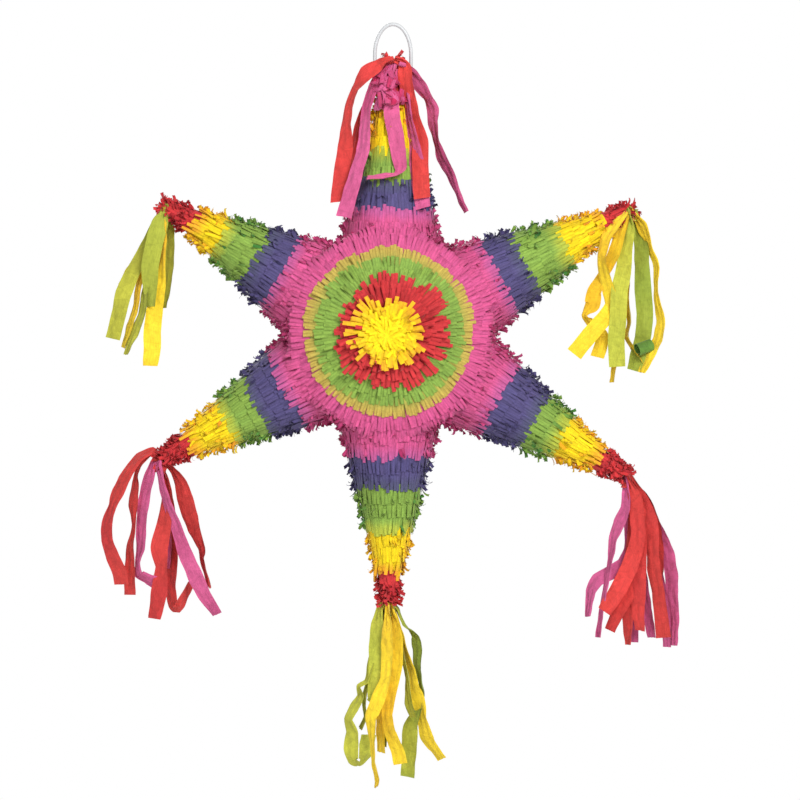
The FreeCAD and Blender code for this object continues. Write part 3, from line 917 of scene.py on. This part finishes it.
STREAMERS["bottom"] = [
    ("green", -2, [(-3, 2, 30), (-9, -4, 40), (-12, -19, 70), (-12, -41, 95), (-13, -67, 90),
        (-16, -93, 65), (-20, -101, 40)]),
    ("yellow", -12, [(-1, 2, 30), (-2, -24, 60), (-2, -49, 70), (-4, -75, 60), (-11, -96, 80),
        (-18, -113, 70), (-18, -127, 50), (-17, -144, 30), (-16, -162, 25), (-12, -178, 30),
        (-13, -186, 15)]),
    ("yellow", -7, [(2, 1, 30), (7, -33, 80), (7, -59, 80), (4, -78, 70), (0, -97, 70),
        (-2, -113, 60), (1, -131, 65), (8, -147, 75), (12, -163, 80)]),
    ("green", 2, [(-2, 1, 30), (-11, -30, 40), (-19, -62, 35), (-23, -79, 20), (-31, -84, 20),
        (-29, -94, 40), (-36, -106, 55), (-42, -118, 45), (-38, -132, 70), (-39, -148, 85),
        (-37, -161, 60), (-30, -164, 25), (-25, -156, 70), (-23, -145, 85), (-21, -134, 85)]),
    ("green", 5, [(3, 1, 30), (9, -5, 15), (15, -20, 15), (22, -27, 20), (27, -34, 50),
        (29, -46, 60), (29, -62, 45), (32, -79, 25), (34, -95, 25), (29, -110, 45), (22, -127, 85),
        (21, -144, 90), (20, -162, 80), (19, -178, 80)]),
    ("yellow", 3, [(2, 1, 30), (12, -30, 30), (17, -50, 30), (23, -66, 40), (25, -85, 70),
        (30, -98, 80), (34, -118, 55), (39, -137, 75), (47, -149, 50), (55, -159, 50)]),
    ("green", 0, [(3, 0, 30), (11, -33, 20), (16, -59, 20), (19, -75, 20), (20, -101, 50),
        (25, -116, 40)]),
    ("green", 7, [(-2, 0, 30), (-15, -50, 30), (-25, -92, 20), (-26, -104, 20), (-24, -116, 20),
        (-30, -128, 20)]),
    ("yellow", 8, [(0, 0, 30), (-4, -60, 50), (-9, -120, 45), (-8, -153, 40)]),
    ("green", 6, [(1, 0, 30), (0, -60, 50), (-4, -105, 50), (-5, -147, 35)]),
]
STREAMERS["top"] = [
    ("red", -11, [(1, 9, 50), (-8, 7, 70), (-16, 2, 80), (-27, -5, 90), (-38, -20, 45),
        (-45, -38, 50), (-48, -58, 60), (-49, -83, 90), (-53, -109, 90), (-57, -138, 80)]),
    ("red", -4, [(-4, 6, 40), (-18, -9, 30), (-28, -37, 30), (-35, -58, 45), (-38, -76, 55),
        (-40, -97, 60), (-42, -128, 50)]),
    ("pink", -14, [(-2, 3, 40), (-8, -4, 40), (-19, -16, 50), (-27, -40, 50), (-29, -66, 60),
        (-31, -87, 70), (-37, -107, 75), (-44, -132, 85), (-50, -154, 90)]),
    ("pink", -10, [(1, 5, 40), (-5, -8, 60), (-8, -20, 50), (-12, -32, 60), (-17, -44, 40)]),
    ("pink", -15, [(2, 4, 40), (-3, -10, 60), (-8, -22, 60), (-2, -34, 90), (-1, -50, 90),
        (3, -70, 90), (6, -91, 85), (8, -104, 70), (3, -110, 25), (-10, -112, 35),
        (-26, -114, 25)]),
    ("red", -12, [(2, 9, 60), (8, 7, 80), (12, 1, 90), (13, -14, 80), (18, -35, 70), (23, -55, 65),
        (28, -76, 90), (28, -101, 95), (29, -123, 95), (30, -135, 95)]),
    ("pink", -7, [(5, 2, 30), (13, -25, 30), (17, -55, 35), (22, -80, 60), (26, -110, 90),
        (31, -145, 85)]),
    ("pink", -5, [(6, 4, 30), (14, 1, 40), (20, -6, 55), (26, -16, 75), (36, -30, 50),
        (41, -42, 65), (41, -56, 55), (45, -76, 30), (50, -92, 55), (59, -109, 45), (67, -130, 25),
        (75, -148, 25)]),
]

# streamers that cross in front of the cone's tip or the loop's legs: how far they bow forwards
BOWS = {("upper_right", 4): 13, ("upper_right", 5): 11, ("top", 1): 11, ("top", 6): 8, ("top", 8): 12}

# streamers painted partly in shade, and how much of DEEP is mixed into them as painted shade
STREAMER_SHADE = {("upper_right", 3): 0.4, ("bottom", 5): 0.1, ("upper_left", 1): 0.25, ("upper_left", 6): 0.15}

ROLLED = ("upper_right", 3)  # the streamer with a roll of paper near its end
ROLL_DROP = 141 * MM  # how far below the knot that is


def body_of(name):
    """The body that a tassel is on: the top one lies on its cone and doesn't swing."""
    return "star" if name == "top" else f"{name}_tassel"


def knot_of(name):
    """The middle of a tassel's knot."""
    for joint in frame["joints"]:
        if joint["child"] == f"{name}_tassel":
            return Vector(joint["pos_m"])
    cone = CONES[name]
    return STAR + cone.axis * cone.reach("red")[1]


CREASED = 0.5  # how sharply a streamer bends at its points: 0 is a smooth curve, 1 is straight runs
RUN_STEPS = 9  # rows of the mesh from one point to the next
GATHER = 24 * MM  # how far down from its knot a streamer is gathered


def along_route(points, share):
    """A curve through the points, each a tuple of numbers, a little creased at each of them."""
    spans = len(points) - 1
    at = min(spans - 1, int(share * spans))
    t = share * spans - at
    before, a, b, after = (points[min(spans, max(0, at + k))] for k in (-1, 0, 1, 2))
    curve = [
        0.5 * (2 * q + (r - p) * t + (2 * p - 5 * q + 4 * r - s) * t**2 + (3 * q - p - 3 * r + s) * t**3)
        for p, q, r, s in zip(before, a, b, after)
    ]
    return [c + (q + (r - q) * t - c) * CREASED for c, q, r in zip(curve, a, b)]


def facing(shown):
    """The turn of a strip about its own length, in radians, for each share of its width that faces
    forwards. Past a narrow place it shows its other side."""
    turns = []
    flipped = False
    for i, share in enumerate(shown):
        turn = math.acos(min(1.0, share))
        if i > 1 and shown[i - 1] <= min(shown[i - 2], share) and shown[i - 1] < 0.35:
            flipped = not flipped
        turns.append(math.pi - turn if flipped else turn)
    return turns


def top_depth(x, z):
    """How far the front of the top cone's fringe stands out at a place beside and below its tip."""
    cone = CONES["top"]
    radius = cone.radius(cone.reach("red")[1] + z) + 5 * MM
    return -radius * math.sqrt(max(0.12, 1 - (x / (1.5 * radius)) ** 2))


def bow(name, order, drop):
    """How far forward a streamer bows where it crosses its cone's tip, or the loop's legs."""
    reach = BOWS.get((name, order), 0) * MM
    if name == "top":
        return reach * (1 - smooth((drop - 4 * MM) / (40 * MM)))
    return reach * smooth(drop / (9 * MM)) * (1 - smooth((drop - 34 * MM) / (36 * MM)))


def streamer(name, order, colour, depth, points, seed):
    """A strip of tissue that hangs from its knot, gathered at the top and cut off square. Where it
    shows less than its width, it is partly turned edge on and partly crumpled narrower."""
    paper = Paper(seed)
    rng = paper.rng
    knot = knot_of(name)
    shown = [percent / 100 for _, _, percent in points]
    turns = facing([share**0.65 for share in shown])
    route = [(x * MM, z * MM, turn, share**0.35) for (x, z, _), turn, share in zip(points, turns, shown)]
    steps = RUN_STEPS * (len(route) - 1)
    lean = rng.uniform(0, 50)
    centres, angles, shares = [], [], []
    for i in range(steps + 1):
        x, z, turn, share = along_route(route, i / steps)
        hang = smooth(-z / (30 * MM) + 0.2)
        wave = noise.noise(Vector((lean, i * 0.13, 0))) * 2.4 * MM
        y = depth * 1.35 * MM * (0.35 + 0.65 * hang) + wave * hang
        if name == "top":
            y = top_depth(x, z) + (depth + 8) * MM * 0.8 + wave * 0.4 * hang
        centres.append(knot + Vector((x, y - bow(name, order, -z), z)))
        angles.append(turn)
        shares.append(share)
    # a streamer is painted darker the further back it hangs, and lighter in front, as painted shade
    base = shade(rng, STREAMER[colour], 0.92, 1.04) * (1 - 0.007 * (depth + 8))
    base = mixed(base, DEEP[colour], STREAMER_SHADE.get((name, order), 0))
    long = 0.0
    across = [u / 4 for u in range(-4, 5)]
    rows, along, paints = [], [], []
    for i, centre in enumerate(centres):
        before, after = centres[max(0, i - 1)], centres[min(steps, i + 1)]
        if i:
            long += (centre - centres[i - 1]).length
        tangent = (after - before).normalized()
        side = tangent.cross(FRONT).normalized()
        side = Quaternion(tangent, angles[i]) @ side
        out = side.cross(tangent).normalized()
        gather = 1 - smooth(long / GATHER)
        half = STREAMER_WIDE / 2 * shares[i] * (1 - 0.55 * gather)
        half *= 1 + 0.03 * noise.noise(Vector((lean, long * 90, 5)))
        pleat = (gather * 1.6 + (1 - shares[i]) * 2.4) * MM
        row = []
        for u in across:
            fold = pleat * math.sin(7.5 * u + lean)
            cup = 1.3 * MM * (1 - u * u) * noise.noise(Vector((lean, long * 22, 2)))
            crease = 1.1 * MM * noise.noise(Vector((lean + u * 1.8, long * 90 + u * 0.8, 7)))
            row.append(centre + side * (half * u) + out * (fold + cup + crease))
        rows.append(row)
        along.append(long)
        # painted light and shade along the streamer: a tenth lighter or darker, and patches mixed towards DEEP as
        # painted shade
        painted_light_and_shade = 1 + 0.1 * noise.noise(Vector((lean, long * 30, 9)))
        shady = max(0.0, noise.noise(Vector((lean, long * 14, 4)))) * 0.7
        paints.append(mixed(base, DEEP[colour], min(0.4, shady)) * painted_light_and_shade)
    paper.grid(rows, [u * STREAMER_WIDE / 2 for u in across], along, paints)
    if (name, order) == ROLLED:
        beside = min(centres, key=lambda c: abs(c.z - knot.z + ROLL_DROP))
        # the roll is painted mostly in DEEP, as painted shade
        rolled_end(paper, beside + Vector((3, -7, 0)) * MM, mixed(base, DEEP[colour], 0.7))
    piece = paper.build(f"{name}_streamer_{order}_{colour}", body_of(name), f"tissue_{colour}")


def rolled_end(paper, middle, paint):
    """A curl of paper rolled up on itself in front of its streamer."""
    axis = Vector((0.85, 0.42, 0.3)).normalized()
    side = axis.cross(FRONT).normalized()
    out = side.cross(axis)
    rows, along = [], []
    steps = 40
    for i in range(steps + 1):
        turn = 4.6 * math.pi * i / steps
        radius = (7 - 5 * i / steps) * MM
        spot = middle + side * (radius * math.cos(turn)) + out * (radius * math.sin(turn))
        spread = (9 - 2 * i / steps) * MM
        rows.append([spot + axis * (spread * u) for u in (-1, -0.5, 0, 0.5, 1)])
        along.append(i * 2 * MM)
    # the turns are painted in lighter and darker bands, as painted light and shade on the roll
    shades = [paint * (0.8 + 0.35 * math.cos(9 * i / steps) ** 2) for i in range(steps + 1)]
    paper.grid(rows, [u * 8 * MM for u in (-1, -0.5, 0, 0.5, 1)], along, shades)


def make_knot(name, colours, seed):
    """The gathered and twisted ends of a tassel's strips."""
    paper = Paper(seed)
    rng = paper.rng
    knot = knot_of(name)
    around = 40
    # heights above the knot's middle, and the radius there
    profile = [(4.5, 0.8), (3.5, 2.4), (1.5, 3.6), (-1, 3.5), (-3, 3.0), (-6, 3.8), (-9, 5.2), (-12, 6.2)]
    if name == "top":
        profile = [(11, 1.5), (10, 6.0), (7.5, 8.6), (4, 9.2), (0, 9.8), (-5, 10.6), (-10, 12.0)]
    offset = Vector((0, -3 * MM if name == "top" else 0, 0))
    rows, paints = [], []
    phase = rng.uniform(0, 6)
    for height, radius in profile:
        row = []
        for j in range(around):
            turn = math.tau * j / around
            ray = Vector((math.cos(turn), math.sin(turn), 0))
            pleat = 1 + 0.13 * math.sin(9 * turn + phase + height * 0.25)
            pleat += 0.08 * math.sin(4 * turn - height * 0.4)
            pleat += 0.1 * noise.noise(Vector((ray.x * 2, ray.y * 2, height * 0.3 + phase)))
            spot = ray * (radius * pleat * MM)
            row.append(knot + offset + spot + Vector((0, 0, height * MM)))
        rows.append(row)
        paints.append(shade(rng, STREAMER[colours[0]], 0.86, 1.0))
    along = [(profile[0][0] - height) * MM for height, _ in profile]
    paper.grid(rows, [j * MM for j in range(around)], along, paints, closed=True)
    for _ in range(10):
        root = knot + offset + Vector((rng.gauss(0, 1.5), rng.gauss(-2, 2), rng.uniform(-8, 3))) * MM
        forward = Vector((rng.gauss(0, 1), rng.gauss(-0.4, 0.7), rng.gauss(-0.3, 0.8))).normalized()
        lift, curl, twist = (gauss_angle(rng, 0, spread) for spread in (20, 90, 60))
        paint = shade(rng, STREAMER[colours[0]], 0.75, 1.0)
        paper.strip(root, forward, forward.orthogonal(), rng.uniform(5, 9) * MM, 4 * MM, paint, None, lift,
                    curl, twist)
    nodes = [f"{name}_tassel_{c}" for c in colours]
    paper.build(f"{name}_knot", body_of(name), f"tissue_{colours[0]}", *nodes)


def top_gather():
    """Crumpled pink ends, bunched on the front of the top cone below its knot."""
    paper = Paper(390)
    rng = paper.rng
    knot = knot_of("top")
    for _ in range(80):
        x, z = rng.gauss(-5, 6) * MM, rng.uniform(-34, 2) * MM
        root = knot + Vector((x, top_depth(x, z) - rng.uniform(2, 9) * MM, z))
        forward = Vector((rng.gauss(0, 0.5), rng.gauss(0, 0.25), -1)).normalized()
        normal = (FRONT - forward * FRONT.dot(forward)).normalized()
        # each end is mixed at random towards a deep red-pink: partly the gather's redder colour and partly painted
        # shade among the crumples
        paint = shade(rng, mixed(STREAMER["pink"], linear(204, 40, 92), rng.random()), 0.9, 1.08)
        lift, curl, twist = (gauss_angle(rng, 0, spread) for spread in (15, 80, 50))
        long, width = rng.uniform(8, 17) * MM, rng.uniform(3, 6.5) * MM
        paper.strip(root, forward, normal, long, width, paint, None, lift, curl, twist, steps=7)
    paper.build("top_gather", "star", "tissue_pink")


def make_tassels():
    """Every tassel's knot and streamers. A knot has its tassel's first colour."""
    for place, (name, strips) in enumerate(STREAMERS.items()):
        colours = sorted({s[0] for s in strips}, key=[s[0] for s in strips].index)
        make_knot(name, colours, 300 + place)
        for order, (colour, depth, points) in enumerate(strips):
            streamer(name, order + 1, colour, depth, points, 400 + 20 * place + order)
    top_gather()


# --- the rest of the model
def carried_over():
    """The card, the plug and the loop keep their CAD shapes, and get their real materials."""
    slots = {s["node"]: s["material_slot"] for s in frame["record"]["subparts"]}
    for name, node in NODES.items():
        material = MATERIAL[slots[name]]
        node.data.materials.clear()
        node.data.materials.append(material)


def make_stage():
    """A round pale floor, well below the tassels."""
    drop, radius, around = 0.62, 3.4, 96
    turns = [math.tau * i / around for i in range(around)]
    height = CAD_BOX[0].z - drop
    mesh = bpy.data.meshes.new("floor")
    ring = [(radius * math.cos(turn), radius * math.sin(turn), height) for turn in turns]
    mesh.from_pydata(ring, [], [tuple(range(around))])
    mesh.materials.append(stage_material("pale_floor", 0.86))
    floor = add_object("floor", mesh)


def area_light(name, place, size, power):
    light = bpy.data.lights.new(name, "AREA")
    light.shape = "DISK"
    light.size = size
    light.energy = power
    lamp = add_object(name, light)
    lamp.location = place
    lamp.rotation_euler = (STAR - Vector(place)).to_track_quat("-Z", "Y").to_euler()


def make_lights():
    """A big soft key from the upper right, a weak fill, a light from behind, and a pale room that the
    camera sees as white."""
    area_light("key", (1.1, -2.8, 1.05), 1.3, 97)
    area_light("fill", (-2.2, -2.2, 0.0), 2.0, 17)
    area_light("back_light", (-1.2, 2.4, 1.3), 2.0, 45)
    world = bpy.data.worlds.new("studio")
    world.use_nodes = True
    tree = world.node_tree
    shown = tree.nodes["Background"]
    shown.inputs["Color"].default_value = (1, 1, 1, 1)
    room = tree.nodes.new("ShaderNodeBackground")
    room.inputs["Color"].default_value = (1, 1, 1, 1)
    room.inputs["Strength"].default_value = 0.36
    ray = tree.nodes.new("ShaderNodeLightPath")
    pick = tree.nodes.new("ShaderNodeMixShader")
    tree.links.new(ray.outputs["Is Camera Ray"], pick.inputs["Fac"])
    tree.links.new(room.outputs[0], pick.inputs[1])
    tree.links.new(shown.outputs[0], pick.inputs[2])
    tree.links.new(pick.outputs[0], tree.nodes["World Output"].inputs["Surface"])
    bpy.context.scene.world = world
    bpy.context.scene.view_settings.view_transform = "Standard"


def make_camera():
    """Straight in front, far enough away that the star hardly shows perspective."""
    away = 4.0
    view_wide = 0.824
    camera = bpy.data.cameras.new("camera")
    camera.sensor_width = 36
    camera.lens = camera.sensor_width * away / view_wide
    eye = add_object("camera", camera)
    aside, below = 11.3 * MM, 69 * MM  # the view's middle is beside and below the star's
    eye.location = (STAR.x + aside, -away, STAR.z - below)
    eye.rotation_euler = (math.pi / 2, 0, 0)
    bpy.context.scene.camera = eye


# --- making it
for place, cone in enumerate(CONES.values()):
    for order, band in enumerate(BANDS):
        cone_band(cone, band, 100 + 10 * place + order)
green_ring()
red_ring()
yellow_heap()
drum_pink()
back_fringe()
flap_fringe()
make_tassels()
carried_over()
make_stage()
make_lights()
make_camera()
